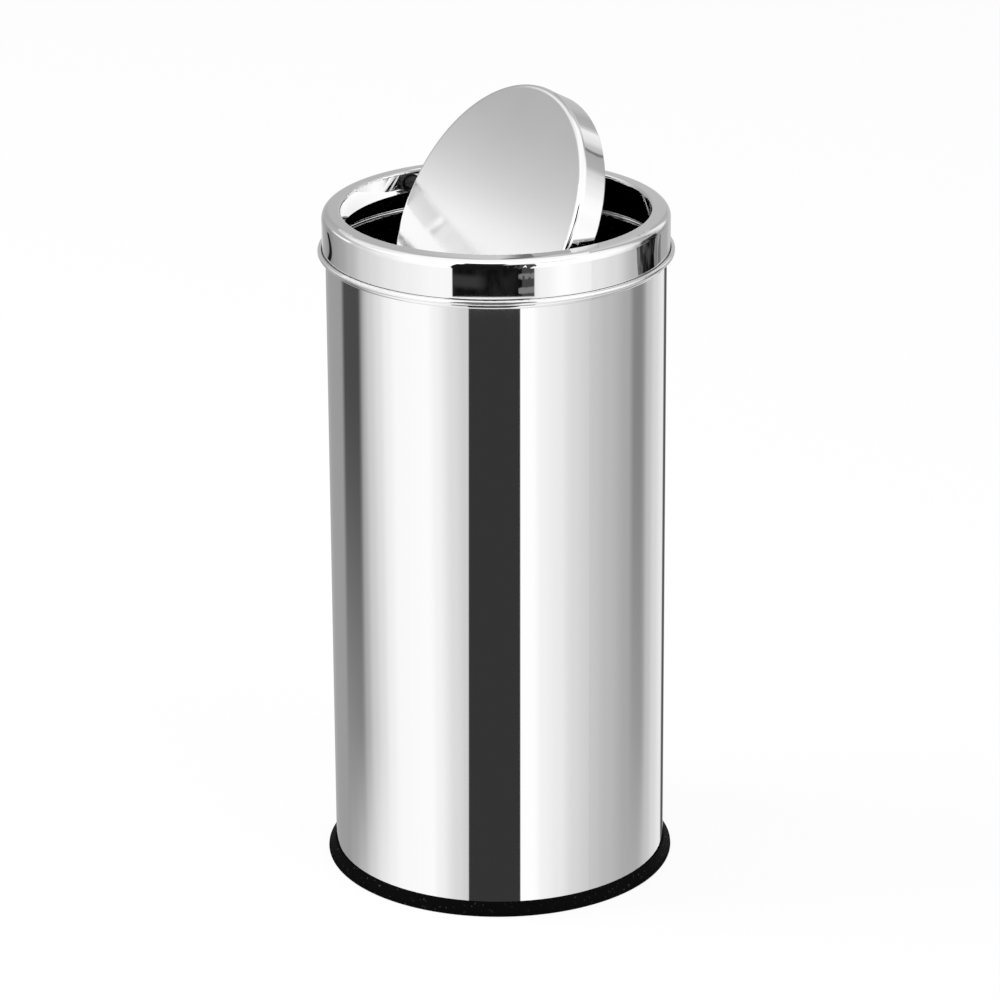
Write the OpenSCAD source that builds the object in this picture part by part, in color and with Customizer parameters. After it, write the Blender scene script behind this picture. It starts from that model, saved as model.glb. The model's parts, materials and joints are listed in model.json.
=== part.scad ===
// Round swing-top bin in polished stainless steel sheet.
// A plain rolled shell stands in a black rubber foot ring. A pressed collar drops over its
// top and lands on a stop bead. A shallow pan-shaped lid turns right round in the collar's
// mouth on two screws, and a hidden weight hangs under it and swings it shut.
// Millimetres. The origin is the middle of the foot, on the floor. +Z is up, the two pivots
// lie along X, and the lid's front half, towards -Y, is shown pushed down into the bin.

/* [Shell] */
// Outside diameter of the shell
shell_d = 305; // [270:1:360]
// Length of the shell, from its lower edge to the top of its rolled rim
shell_h = 612; // [450:1:700]
// Thickness of the shell's sheet
shell_t = 0.8; // [0.6:0.1:1]
// Radius of the stop bead that is pressed outwards round the shell
stop_r = 3.2; // [2.6:0.1:3.4]

/* [Foot] */
// Height of the rubber ring's outer lip over the floor
ring_h = 12; // [9:0.5:18]
// How far the rubber ring spreads beyond the shell at the floor
ring_spread = 7.2; // [5:0.1:12]
// Thickness of the outer lip at its top
ring_lip_t = 1.4; // [1:0.1:2]
// Thickness of rubber under the shell's edge
ring_sole = 3; // [2:0.5:5]
// Height of the rubber ring's inner lip over the floor
ring_inner_h = 8; // [6:0.5:9]
// Thickness of the inner lip
ring_inner_t = 2.5; // [1.5:0.1:4]
// Rounding of the ring's edge at the floor
ring_edge_r = 1.6; // [1:0.1:2]

/* [Bottom] */
// Thickness of the bottom pan's sheet
pan_t = 0.8; // [0.6:0.1:1.2]
// Height of the bottom pan's floor over the shell's lower edge
pan_rise = 11; // [10:0.5:20]
// Radius of the bottom pan's bend
pan_bend_r = 3.5; // [2:0.5:4.5]
// Radius of each stiffening rib in the bottom pan
rib_r = 2.5; // [1.5:0.1:4]
// Distance of the outer rib from the pan's edge
rib_inset = 32; // [15:1:45]
// Distance between the two ribs
rib_pitch = 50; // [20:1:70]

/* [Collar] */
// Thickness of the collar's sheet
collar_t = 0.8; // [0.6:0.1:1]
// Gap between the shell and the collar's outer skirt
collar_gap = 2.3; // [2:0.1:3]
// Height of the collar, from the middle of its rolled bead to its top
collar_h = 38.6; // [32:0.1:50]
// Height of the collar's top over the shell's rim
rim_headroom = 8; // [7:0.5:14]
// Radius of the bead that is rolled round the collar's lower edge
bead_r = 2.4; // [2.2:0.1:3]
// Width of the collar, from the mouth to the outside of its skirt
flange_w = 17.4; // [15.5:0.1:26]
// Slope of the collar's top, down towards the outside, in degrees
flange_slope = 6; // [0:0.5:10]
// Radius of the collar's outer shoulder
shoulder_r = 8; // [5:0.5:9]
// Radius of the edge round the mouth
mouth_edge_r = 3; // [2:0.5:4]
// Depth of the mouth's skirt below the pivots
mouth_margin = 6.1; // [5:0.1:10]

/* [Lid] */
// Angle that the lid is shown turned by, in degrees
lid_tilt = 61; // [0:1:90]
// Gap between the lid and the mouth
lid_gap = 11.2; // [10:0.1:18]
// Thickness of the lid's sheet
lid_t = 0.8; // [0.6:0.1:1]
// Height of the lid's face over the pivots
lid_face_h = 12.6; // [11:0.1:16]
// Depth of the lid's skirt below the pivots
lid_skirt_h = 15.2; // [12:0.1:20]
// How far the closed lid's face lies below the collar's top
lid_sink = 2.3; // [0:0.1:4]
// Radius of the edge round the lid's face
lid_edge_r = 4.8; // [2:0.1:5.5]
// Radius of the hem that is rolled round the lid's lower edge
hem_r = 1.6; // [1.4:0.1:2.4]

/* [Pivots] */
// Diameter of the pivot screws
screw_d = 5; // [4:0.5:6]
// Wall of the steel spacer that the lid turns on
journal_wall = 0.9; // [0.7:0.1:1.2]
// Diameter of the spacer's shoulder
spacer_d = 12; // [10.5:0.5:14]
// Wall of the nylon bushes
bush_wall = 1; // [0.8:0.1:1.4]
// Diameter of the bushes' flanges
bush_flange_d = 16; // [13:0.5:20]
// Thickness of the bushes' flanges
bush_flange_t = 3; // [1.5:0.1:4]
// Diameter of the washers
washer_d = 12; // [11:0.5:13]
// Thickness of the washers
washer_t = 1; // [0.8:0.1:1.4]
// Width of the nuts across their flats
nut_af = 8; // [8:0.5:10]
// Thickness of the nuts
nut_h = 4; // [3:0.1:5]
// Diameter of the screws' heads
head_d = 9.5; // [8.5:0.1:11]
// Height of the screws' heads
head_h = 3; // [2.5:0.1:4]
// Thread that stands out past each nut
thread_end = 1.2; // [0.5:0.1:2]
// Thickness of the plates that back the sheet at the pivots
plate_t = 1.5; // [1:0.1:2]
// Width of the backing plates
plate_w = 28; // [22:1:40]
// Distance of the lid's backing plates from the nearer bend of the sheet
plate_inset = 0.6; // [0.3:0.1:1.5]

/* [Weight] */
// Length of the counterweight
weight_l = 120; // [90:1:150]
// Width of the counterweight
weight_w = 26; // [20:1:36]
// Thickness of the counterweight
weight_h = 12; // [8:0.5:18]
// Distance between the two screws that hold the counterweight
weight_screws_l = 80; // [50:1:90]
// Depth of the strap's bridge below the pivots
strap_drop = 24; // [18:0.5:30]
// Width of the strap
strap_w = 20; // [16:1:26]
// Thickness of the strap
strap_t = 1.5; // [1:0.1:2]
// Distance between the outsides of the strap's legs
strap_span = 146; // [140:1:170]
// Length of each of the strap's feet
strap_foot = 22; // [14:1:26]
// Radius of the strap's bends
strap_bend_r = 4; // [2.5:0.5:6]

/* [Fits] */
// Running clearance of the bushes on the spacers, on the radius
running_fit = 0.05; // [0.02:0.01:0.1]
// Gap between the collar and the shell where one sits on or slides along the other
seat_gap = 0.3; // [0.2:0.05:0.5]
// Clearance of the screws in their holes, on the radius
screw_fit = 0.1; // [0.05:0.05:0.25]
// Gap between pieces that are fixed face to face
face_gap = 0.05; // [0.02:0.01:0.1]
// Play of the lid along its pivots, at each end
end_play = 0.25; // [0.1:0.05:0.5]

/* [Hidden] */

LEFT = -1;
RIGHT = 1;
round_fn = 160;
small_fn = 48;
past = 1;

steel = "Silver";
polished = "Gainsboro";
rubber = [0.05, 0.05, 0.05];
nylon = [0.08, 0.08, 0.08];
iron = [0.16, 0.16, 0.17];

// Shell and foot
shell_r = to_thousandths(shell_d / 2);
shell_in_r = shell_r - shell_t;
shell_low = ring_sole;
shell_top = shell_low + shell_h;
curl_r = to_thousandths((collar_gap - seat_gap + shell_t) / 2);
pan_r = shell_in_r - face_gap;
pan_in_r = pan_r - pan_t;
pan_top = shell_low + pan_rise;

// Collar
collar_in_r = shell_r + collar_gap;
collar_r = collar_in_r + collar_t;
mouth_r = collar_r - flange_w;
mouth_back_r = mouth_r + collar_t;
collar_top = shell_top + rim_headroom;
bead_x = collar_in_r + bead_r;
bead_z = collar_top - collar_h;
stop_z = to_thousandths(
    bead_z - sqrt(pow(bead_r + stop_r + seat_gap, 2) - pow(bead_x - shell_r, 2))
);
mouth_edge = [mouth_r + mouth_edge_r, collar_top - mouth_edge_r];
flange_normal = [sin(flange_slope), cos(flange_slope)];
shoulder_x = collar_r - shoulder_r;
shoulder_drop = (shoulder_r - mouth_edge_r) / cos(flange_slope)
    + (shoulder_x - mouth_edge[0]) * tan(flange_slope);
shoulder = [shoulder_x, to_thousandths(mouth_edge[1] - shoulder_drop)];

// Lid
lid_r = mouth_r - lid_gap;
lid_in_r = lid_r - lid_t;
pivot_z = collar_top - lid_sink - lid_face_h;
face_under = lid_face_h - lid_t;

// Pivot stack, measured along X from the middle of the bin
screw_r = screw_d / 2;
screw_hole_r = screw_r + screw_fit;
journal_r = screw_hole_r + journal_wall;
bush_bore_r = journal_r + running_fit;
bush_r = bush_bore_r + bush_wall;
bush_hole_r = bush_r + face_gap;
lid_plate_x = lid_in_r - face_gap - plate_t;
lid_plate_h = 2 * (min(lid_skirt_h - 2 * hem_r, lid_face_h - lid_edge_r) - plate_inset);
bush_in_x = lid_plate_x - 2 * face_gap;
bush_flange_x = lid_r + face_gap;
bush_out_x = bush_flange_x + bush_flange_t;
journal_in_x = bush_in_x - end_play;
shoulder_in_x = bush_out_x + end_play;
spacer_out_x = sqrt(pow(mouth_r, 2) - pow(spacer_d / 2, 2)) - face_gap;
head_x = journal_in_x - 2 * face_gap - washer_t;
bracket_r = mouth_back_r + face_gap;
outer_washer_x = bracket_r + plate_t + face_gap;
nut_x = outer_washer_x + washer_t + face_gap;
screw_end_x = nut_x + nut_h + thread_end;

// Weight, measured up from the pivots in the closed lid
bridge_top = -strap_drop;
bridge_low = bridge_top - strap_t;
weight_top = bridge_low - face_gap;
weight_low = weight_top - weight_h;
strap_leg_x = strap_span / 2 - strap_t;

function ray(r, a) = [r * cos(a), r * sin(a)];
// Rounds a place in a section, so that its bends and straight stretches meet exactly
function to_thousandths(v) = round(v * 1000) / 1000;

// The side of the bin that has a pivot
module on_side(side) {
    rotate([0, 0, side == LEFT ? 180 : 0]) children();
}

// A piece that is drawn in the closed lid, with the pivots at z = 0, and turns with the lid
module on_lid() {
    translate([0, 0, pivot_z]) rotate([lid_tilt, 0, 0]) children();
}

// A rod along X from x0 to x1
module rod(r, x0, x1, fn = small_fn) {
    translate([x0, 0, 0]) rotate([0, 90, 0]) cylinder(r = r, h = x1 - x0, $fn = fn);
}

// A tube along X from x0 to x1
module tube(r_out, r_in, x0, x1) {
    difference() {
        rod(r_out, x0, x1);
        rod(r_in, x0 - past, x1 + past);
    }
}

// Section of a sheet that bends round a centre, from angle a0 up to angle a1
module bend(centre, r, wall, a0, a1) {
    steps = ceil((a1 - a0) / 60);
    reach = 2 * r;
    corners = [for (i = [0:steps]) ray(reach, a0 + (a1 - a0) * i / steps)];
    translate(centre) intersection() {
        difference() {
            circle(r = r, $fn = small_fn);
            circle(r = r - wall, $fn = small_fn);
        }
        polygon(concat([[0, 0]], corners));
    }
}

// Section of a straight stretch of sheet, from one corner to the other
module flat(low, high) {
    translate(low) square(high - low);
}

module spun() {
    rotate_extrude($fn = round_fn) children();
}

// Shell: rolled sheet with an outward stop bead and a rim curled outwards
module body_shell() {
    bead_in_r = stop_r - shell_t;
    color(polished) spun() {
        flat([shell_in_r, shell_low], [shell_r, stop_z - bead_in_r]);
        bend([shell_r, stop_z], stop_r, shell_t, -90, 90);
        flat([shell_in_r, stop_z + bead_in_r], [shell_r, shell_top - curl_r]);
        bend([shell_in_r + curl_r, shell_top - curl_r], curl_r, shell_t, -110, 180);
    }
}

// Bottom: a pressed pan, open side down, with two raised ribs
module bottom_pan() {
    bend_x = pan_r - pan_bend_r;
    rib_in_r = rib_r - pan_t;
    outer_rib = pan_r - rib_inset;
    inner_rib = outer_rib - rib_pitch;
    color(steel) spun() {
        flat([pan_in_r, shell_low + face_gap], [pan_r, pan_top - pan_bend_r]);
        bend([bend_x, pan_top - pan_bend_r], pan_bend_r, pan_t, 0, 90);
        flat([outer_rib + rib_in_r, pan_top - pan_t], [bend_x, pan_top]);
        bend([outer_rib, pan_top], rib_r, pan_t, 0, 180);
        flat([inner_rib + rib_in_r, pan_top - pan_t], [outer_rib - rib_in_r, pan_top]);
        bend([inner_rib, pan_top], rib_r, pan_t, 0, 180);
        flat([0, pan_top - pan_t], [inner_rib - rib_in_r, pan_top]);
    }
}

// Foot: a rubber channel that grips the shell's edge and spreads towards the floor
module base_ring() {
    lip_r = ring_lip_t / 2;
    outer_x = shell_r + face_gap;
    inner_x = pan_in_r - face_gap;
    toe = [shell_r + ring_spread - ring_edge_r, ring_edge_r];
    tip = [outer_x + lip_r, ring_h - lip_r];
    run = tip - toe;
    lean = atan2(run[1], run[0]) - acos((ring_edge_r - lip_r) / norm(run));
    color(rubber) spun() {
        translate(toe) circle(r = ring_edge_r, $fn = small_fn);
        translate(tip) circle(r = lip_r, $fn = small_fn);
        polygon([
            [outer_x, 0], [toe[0], 0], toe, toe + ray(ring_edge_r, lean),
            tip + ray(lip_r, lean), tip, [outer_x, tip[1]]
        ]);
        flat([inner_x - ring_inner_t, 0], [outer_x, shell_low - face_gap]);
        flat([inner_x - ring_inner_t, 0], [inner_x, ring_inner_h]);
    }
}

// Collar: one pressed ring, from the bead over the shoulder and down into the mouth
module rim_collar() {
    top_angle = 90 - flange_slope;
    color(polished) difference() {
        spun() {
            bend([bead_x, bead_z], bead_r, collar_t, 180, 470);
            flat([collar_in_r, bead_z], [collar_r, shoulder[1]]);
            bend(shoulder, shoulder_r, collar_t, 0, top_angle);
            translate(mouth_edge) polygon([
                shoulder - mouth_edge + (shoulder_r - collar_t) * flange_normal,
                shoulder - mouth_edge + shoulder_r * flange_normal,
                mouth_edge_r * flange_normal,
                (mouth_edge_r - collar_t) * flange_normal
            ]);
            bend(mouth_edge, mouth_edge_r, collar_t, top_angle, 180);
            flat([mouth_r, pivot_z - mouth_margin], [mouth_back_r, mouth_edge[1]]);
        }
        for (side = [LEFT, RIGHT])
            translate([0, 0, pivot_z]) on_side(side)
                rod(screw_hole_r, mouth_r - past, mouth_back_r + past);
    }
}

// A plate bent to the curve that it is welded to, with a hole for the pivot
module backing_plate(r_in, height, hole_r) {
    difference() {
        intersection() {
            difference() {
                cylinder(r = r_in + plate_t, h = height, center = true, $fn = round_fn);
                cylinder(r = r_in, h = height + 2 * past, center = true, $fn = round_fn);
            }
            translate([r_in, 0, 0]) rotate([90, 0, 90])
                linear_extrude(height = 4 * plate_w, center = true) plate_outline(height);
        }
        rod(hole_r, r_in - past - plate_t, r_in + past + 2 * plate_t);
    }
}

// A flat bar with two round ends
module plate_outline(height) {
    end_x = (plate_w - height) / 2;
    square([plate_w - height, height], center = true);
    for (x = [-end_x, end_x])
        translate([x, 0]) circle(r = height / 2, $fn = small_fn);
}

module pivot_bracket(side) {
    color(steel) translate([0, 0, pivot_z]) on_side(side)
        backing_plate(bracket_r, 2 * mouth_margin, screw_hole_r);
}

module pivot_plate(side) {
    color(steel) on_lid() on_side(side)
        backing_plate(lid_plate_x, lid_plate_h, bush_hole_r);
}

// Spacer: a shouldered steel tube, clamped to the mouth by the screw through it
module pivot_spacer(side) {
    color(iron) translate([0, 0, pivot_z]) on_side(side) difference() {
        union() {
            rod(journal_r, journal_in_x, shoulder_in_x + past);
            rod(spacer_d / 2, shoulder_in_x, spacer_out_x);
        }
        rod(screw_hole_r, journal_in_x - past, spacer_out_x + past);
    }
}

// Bush: nylon, in the lid's skirt, with its flange towards the mouth
module lid_bush(side) {
    color(nylon) on_lid() on_side(side) difference() {
        union() {
            rod(bush_r, bush_in_x, bush_flange_x + past);
            rod(bush_flange_d / 2, bush_flange_x, bush_out_x);
        }
        rod(bush_bore_r, bush_in_x - past, bush_out_x + past);
    }
}

// A screw along X, whose head ends at x0
module screw(x0, x1) {
    crown = head_h / 3;
    rod(screw_r, x0 - past, x1);
    translate([x0, 0, 0]) rotate([0, -90, 0]) rotate_extrude($fn = small_fn) {
        square([head_d / 2, head_h - crown]);
        square([head_d / 2 - crown, head_h]);
        translate([head_d / 2 - crown, head_h - crown]) circle(r = crown, $fn = small_fn);
    }
}

// A hexagon nut along X
module nut(x0) {
    difference() {
        rod(nut_af / sqrt(3), x0, x0 + nut_h, 6);
        rod(screw_r + face_gap, x0 - past, x0 + nut_h + past);
    }
}

module washer(x0) {
    tube(washer_d / 2, screw_hole_r, x0, x0 + washer_t);
}

module at_pivots() {
    for (side = [LEFT, RIGHT])
        translate([0, 0, pivot_z]) on_side(side) children();
}

module pivot_screws() {
    color(steel) at_pivots() screw(head_x, screw_end_x);
}

module pivot_washers() {
    color(steel) at_pivots() {
        washer(head_x + face_gap);
        washer(outer_washer_x);
    }
}

module pivot_nuts() {
    color(steel) at_pivots() nut(nut_x);
}

// Lid: a pan, open side down, with a hem rolled inwards round its skirt
module lid_pan() {
    edge = [lid_r - lid_edge_r, lid_face_h - lid_edge_r];
    hem = [lid_r - hem_r, hem_r - lid_skirt_h];
    color(polished) on_lid() difference() {
        spun() {
            flat([0, face_under], [edge[0], lid_face_h]);
            bend(edge, lid_edge_r, lid_t, 0, 90);
            flat([lid_in_r, hem[1]], [lid_r, edge[1]]);
            bend(hem, hem_r, lid_t, -260, 0);
        }
        for (side = [LEFT, RIGHT])
            on_side(side) rod(bush_hole_r, lid_in_r - past, lid_r + past);
    }
}

// One half of the strap's section: foot, leg and half of the bridge
module strap_half() {
    foot_bend = [strap_leg_x + strap_bend_r, face_under - face_gap - strap_bend_r];
    leg_bend = [strap_leg_x + strap_t - strap_bend_r, bridge_low + strap_bend_r];
    flat([foot_bend[0], face_under - face_gap - strap_t],
         [foot_bend[0] + strap_foot, face_under - face_gap]);
    bend(foot_bend, strap_bend_r, strap_t, 90, 180);
    flat([strap_leg_x, leg_bend[1]], [strap_leg_x + strap_t, foot_bend[1]]);
    bend(leg_bend, strap_bend_r, strap_t, -90, 0);
    flat([0, bridge_low], [leg_bend[0], bridge_top]);
}

// The two screws that hold the weight, pointing up through the strap
module at_weight_screws() {
    for (x = [-weight_screws_l / 2, weight_screws_l / 2])
        on_lid() translate([x, 0, 0]) rotate([0, -90, 0]) children();
}

module weight_holes() {
    for (x = [-weight_screws_l / 2, weight_screws_l / 2])
        translate([x, 0, weight_low - past])
            cylinder(r = screw_hole_r, h = weight_h + strap_t + 3 * past, $fn = small_fn);
}

// Strap: bent steel strip, its feet welded under the lid's face
module weight_strap() {
    color(steel) on_lid() difference() {
        rotate([90, 0, 0]) linear_extrude(height = strap_w, center = true) {
            strap_half();
            mirror([1, 0]) strap_half();
        }
        weight_holes();
    }
}

module counterweight() {
    color(iron) on_lid() difference() {
        translate([0, 0, weight_low]) linear_extrude(height = weight_h)
            bar_outline(weight_l, weight_w, weight_w / 4);
        weight_holes();
    }
}

// A rectangle with round corners
module bar_outline(length, width, corner) {
    square([length - 2 * corner, width], center = true);
    square([length, width - 2 * corner], center = true);
    for (x = [-1, 1], y = [-1, 1])
        translate([x * (length / 2 - corner), y * (width / 2 - corner)])
            circle(r = corner, $fn = small_fn);
}

module weight_screws() {
    color(steel) at_weight_screws()
        screw(weight_low - face_gap, bridge_top + washer_t + nut_h + 2 * face_gap + thread_end);
}

module weight_washers() {
    color(steel) at_weight_screws() washer(bridge_top + face_gap);
}

module weight_nuts() {
    color(steel) at_weight_screws() nut(bridge_top + washer_t + 2 * face_gap);
}

body_shell();
bottom_pan();
base_ring();
rim_collar();
pivot_bracket(LEFT);  // pivot_bracket_left
pivot_bracket(RIGHT);  // pivot_bracket_right
pivot_spacer(LEFT);  // pivot_spacer_left
pivot_spacer(RIGHT);  // pivot_spacer_right
pivot_screws();
pivot_washers();
pivot_nuts();
lid_pan();
pivot_plate(LEFT);  // pivot_plate_left
pivot_plate(RIGHT);  // pivot_plate_right
lid_bush(LEFT);  // lid_bush_left
lid_bush(RIGHT);  // lid_bush_right
weight_strap();
counterweight();
weight_screws();
weight_washers();
weight_nuts();
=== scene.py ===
"""Looks of a tall round swing-top bin in polished steel: finishes, small details and the studio."""

import json
import math
from collections import namedtuple

import bpy
from mathutils import Matrix, Vector


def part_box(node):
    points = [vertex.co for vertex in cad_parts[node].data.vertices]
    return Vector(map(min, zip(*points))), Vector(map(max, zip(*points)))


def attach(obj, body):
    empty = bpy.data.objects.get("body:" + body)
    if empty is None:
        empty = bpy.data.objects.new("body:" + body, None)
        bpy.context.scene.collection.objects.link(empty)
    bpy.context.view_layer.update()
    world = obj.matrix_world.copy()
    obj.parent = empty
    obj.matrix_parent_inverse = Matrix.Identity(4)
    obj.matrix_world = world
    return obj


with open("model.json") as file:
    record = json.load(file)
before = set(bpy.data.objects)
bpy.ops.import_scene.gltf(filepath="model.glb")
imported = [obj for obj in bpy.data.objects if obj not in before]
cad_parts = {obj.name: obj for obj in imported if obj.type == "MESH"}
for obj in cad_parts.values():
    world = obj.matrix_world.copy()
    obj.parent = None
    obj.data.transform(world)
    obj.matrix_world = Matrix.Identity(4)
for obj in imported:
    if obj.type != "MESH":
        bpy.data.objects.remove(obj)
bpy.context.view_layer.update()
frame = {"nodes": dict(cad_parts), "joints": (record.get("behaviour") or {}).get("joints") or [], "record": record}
nodes = frame["nodes"]

# ---------------------------------------------------------------- places and sizes, in metres and degrees

PIVOT_Z = next(joint["pos_m"][2] for joint in frame["joints"] if joint["name"] == "lid_swing")
LID_TILT = 61.0                 # of the lid from level, at rest
LID_FACE_H = 0.0126             # of the lid's face over its pivots, when it is level
SHELL_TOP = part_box("body_shell")[1].z
BEAD_HEIGHT = 0.0048            # of the bead at the collar's lower edge
BEAD_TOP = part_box("rim_collar")[0].z + BEAD_HEIGHT

# The camera: how far it stands from the bin's axis, how far round it from the front, its height and its aim
CAMERA_DISTANCE = 3.957
CAMERA_TURN = 58.1
CAMERA_HEIGHT = 1.849
CAMERA_PITCH = 20.83
CAMERA_PAN = 0.03
CAMERA_ROLL = -0.338
CAMERA_LENS = 167.34
SENSOR_WIDTH = 36.0

# The light tent round the bin. Like the three cards, only reflections show it. Their turns are degrees
# round the bin from the camera, + to its right, and their heights are over the floor.
TENT_RADIUS = 1.2
TENT_LOW = -1.4
TENT_HIGH = 2.6
TENT_SIDES = 192
# An upright glowing card in the mouth, that the lid's face mirrors at its left: a painted reflection
MOUTH_CARD_RADIUS = 0.1395
MOUTH_CARD_HEIGHTS = (0.582, 0.6025)
MOUTH_CARD_TURNS = (-172.0, -98.0)
MOUTH_CARD_GLOW = 1.2
# An upright glowing card over the bin, that the lid's face mirrors by way of the mouth's left wall: a painted
# reflection
FRONT_CARD_RADIUS = 0.3
FRONT_CARD_HEIGHTS = (0.716, 0.79)
FRONT_CARD_TURNS = (6.0, 45.0)
FRONT_CARD_GLOW = 1.05
CARD_BLUR = 6.0
# A level glowing card in the mouth, that the mouth's skirt mirrors: a painted reflection
SHELF_RADIUS = 0.138
SHELF_Z = 0.6015
SHELF_TURNS = (-172.0, -92.0)


# ---------------------------------------------------------------- node helpers

NOISE_MIDDLE = (0.3, 0.7)       # nearly all values of a noise lie between these


def put(tree, kind, inputs=(), **settings):
    """A new node with these settings. Of its inputs, a number or colour is set and a socket is linked."""
    node = tree.nodes.new(kind)
    for name, value in settings.items():
        setattr(node, name, value)
    for key, value in dict(inputs).items():
        if isinstance(value, bpy.types.NodeSocket):
            tree.links.new(value, node.inputs[key])
        else:
            node.inputs[key].default_value = value
    return node


def maths(tree, operation, a, b=0.0, c=0.0):
    """One step of arithmetic on numbers or sockets."""
    return put(tree, "ShaderNodeMath", {0: a, 1: b, 2: c}, operation=operation).outputs[0]


def smooth(tree, value, low, high, out_low=0.0, out_high=1.0):
    """Goes smoothly from out_low to out_high while value goes from low to high."""
    inputs = {"Value": value, "From Min": low, "From Max": high, "To Min": out_low, "To Max": out_high}
    return put(tree, "ShaderNodeMapRange", inputs, interpolation_type="SMOOTHSTEP").outputs["Result"]


def straight(tree, value, low, high):
    """Goes straight from 0 to 1 while value goes from low to high."""
    inputs = {"Value": value, "From Min": low, "From Max": high}
    return put(tree, "ShaderNodeMapRange", inputs).outputs["Result"]


def band(tree, value, low, high, blur):
    """1 from low to high and 0 outside, over an edge that is blur wide."""
    rise = smooth(tree, value, low - blur / 2, low + blur / 2)
    fall = smooth(tree, value, high - blur / 2, high + blur / 2, 1.0, 0.0)
    return maths(tree, "MULTIPLY", rise, fall)


def over(tree, under, top, mask):
    """The number top laid over the number under, where mask is 1."""
    inputs = {"Factor": mask, "A": under, "B": top}
    return put(tree, "ShaderNodeMix", inputs, data_type="FLOAT").outputs["Result"]


def ramp(tree, value, stops, ease="LINEAR"):
    """A grey colour ramp over stops of (place, brightness), with places from 0 to 1."""
    node = put(tree, "ShaderNodeValToRGB", {"Fac": value})
    node.color_ramp.interpolation = ease
    while len(node.color_ramp.elements) < len(stops):
        node.color_ramp.elements.new(1.0)
    for element, (place, level) in zip(node.color_ramp.elements, stops):
        element.position = place
        element.color = (level, level, level, 1.0)
    return node.outputs["Color"]


def new_material(name, colour=None, metallic=0.0):
    """A material with its Principled shader and an Object texture coordinate."""
    material = bpy.data.materials.new(name)
    material.use_nodes = True
    tree = material.node_tree
    shader = tree.nodes["Principled BSDF"]
    shader.inputs["Metallic"].default_value = metallic
    if colour:
        shader.inputs["Base Color"].default_value = (*colour, 1.0)
    place = put(tree, "ShaderNodeTexCoord").outputs["Object"]
    return material, tree, shader, place


def parts_of(tree, place):
    """The X, Y and Z of a place."""
    return put(tree, "ShaderNodeSeparateXYZ", {"Vector": place}).outputs


def noise(tree, place, scale, detail=2.0, stretch=(1.0, 1.0, 1.0), roughness=0.5):
    """Noise from 0 to 1 over a place that is first stretched."""
    spread = put(tree, "ShaderNodeMapping", {"Vector": place, "Scale": stretch}).outputs["Vector"]
    inputs = {"Vector": spread, "Scale": scale, "Detail": detail, "Roughness": roughness}
    return put(tree, "ShaderNodeTexNoise", inputs).outputs["Fac"]


def bump(tree, height, strength, distance):
    """A normal for bumps of this height."""
    inputs = {"Height": height, "Strength": strength, "Distance": distance}
    return put(tree, "ShaderNodeBump", inputs).outputs["Normal"]


# ---------------------------------------------------------------- finishes

POLISHED = (0.8, 0.8, 0.8)
ZINC = (0.62, 0.64, 0.67)
NYLON = (0.014, 0.014, 0.014)
MIRROR_ROUGHNESS = 0.03
HAZE_NOISE = (0.3, 0.75)        # the noise's values where the polishing haze is least and most
SPECK_NOISE = (0.68, 0.76)      # the noise's values between which a speck of dust begins
RUBBER_SHINE = 0.04
SLOT_ROUGHNESS = 0.55
# The collar's ground bead, and how far under and over its top that finish fades out
BEAD_METALLIC = 0.86
BEAD_ROUGHNESS = 0.14
BEAD_EDGE_LOW = 0.0006
BEAD_EDGE_HIGH = 0.0004
# The satin polish of the lid's face, and how far under the face it begins and is full
FACE_ROUGHNESS = (0.14, 0.17)
FACE_EDGE_LOW = 0.0012
FACE_EDGE_HIGH = 0.0003


def polishing_haze(tree, place, rough):
    """A mirror's roughness, which wanders between half of rough and rough in streaks up the sheet."""
    haze = noise(tree, place, scale=14.0, detail=3.0, stretch=(1.0, 1.0, 0.15))
    return smooth(tree, haze, *HAZE_NOISE, rough / 2, rough)


def sheet_ripple(tree, place, ripples):
    """The faint ripples of rolled sheet."""
    ripple = noise(tree, place, scale=5.0, detail=1.0, stretch=(1.0, 1.0, 0.35))
    return bump(tree, ripple, strength=ripples, distance=0.001)


def polished_steel(name, rough, ripples):
    """Mirror-polished stainless sheet, with a faint polishing haze and faint ripples."""
    material, tree, shader, place = new_material(name, POLISHED, metallic=1.0)
    tree.links.new(polishing_haze(tree, place, rough), shader.inputs["Roughness"])
    tree.links.new(sheet_ripple(tree, place, ripples), shader.inputs["Normal"])
    return material


def collar_steel(name, rough, ripples):
    """The collar: polished like the shell, but its rolled bead is ground and scatters some light."""
    material, tree, shader, place = new_material(name, POLISHED)
    height = parts_of(tree, place)["Z"]
    bead = smooth(tree, height, BEAD_TOP - BEAD_EDGE_LOW, BEAD_TOP + BEAD_EDGE_HIGH, 1.0, 0.0)
    tree.links.new(over(tree, 1.0, BEAD_METALLIC, bead), shader.inputs["Metallic"])
    haze = polishing_haze(tree, place, rough)
    tree.links.new(over(tree, haze, BEAD_ROUGHNESS, bead), shader.inputs["Roughness"])
    tree.links.new(sheet_ripple(tree, place, ripples), shader.inputs["Normal"])
    return material


def lid_steel(name):
    """The lid: a mirror on its skirt, and a face with a soft satin polish."""
    material, tree, shader, place = new_material(name, POLISHED, metallic=1.0)
    pivot = put(tree, "ShaderNodeVectorMath", {0: place, 1: (0.0, 0.0, PIVOT_Z)}, operation="SUBTRACT")
    turn = {"Vector": pivot.outputs["Vector"], "Rotation": (math.radians(-LID_TILT), 0.0, 0.0)}
    flat = put(tree, "ShaderNodeMapping", turn).outputs["Vector"]
    height = parts_of(tree, flat)["Z"]
    face = smooth(tree, height, LID_FACE_H - FACE_EDGE_LOW, LID_FACE_H - FACE_EDGE_HIGH)
    haze = noise(tree, flat, scale=12.0)
    satin = smooth(tree, haze, *NOISE_MIDDLE, *FACE_ROUGHNESS)
    tree.links.new(over(tree, MIRROR_ROUGHNESS, satin, face), shader.inputs["Roughness"])
    return material


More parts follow.
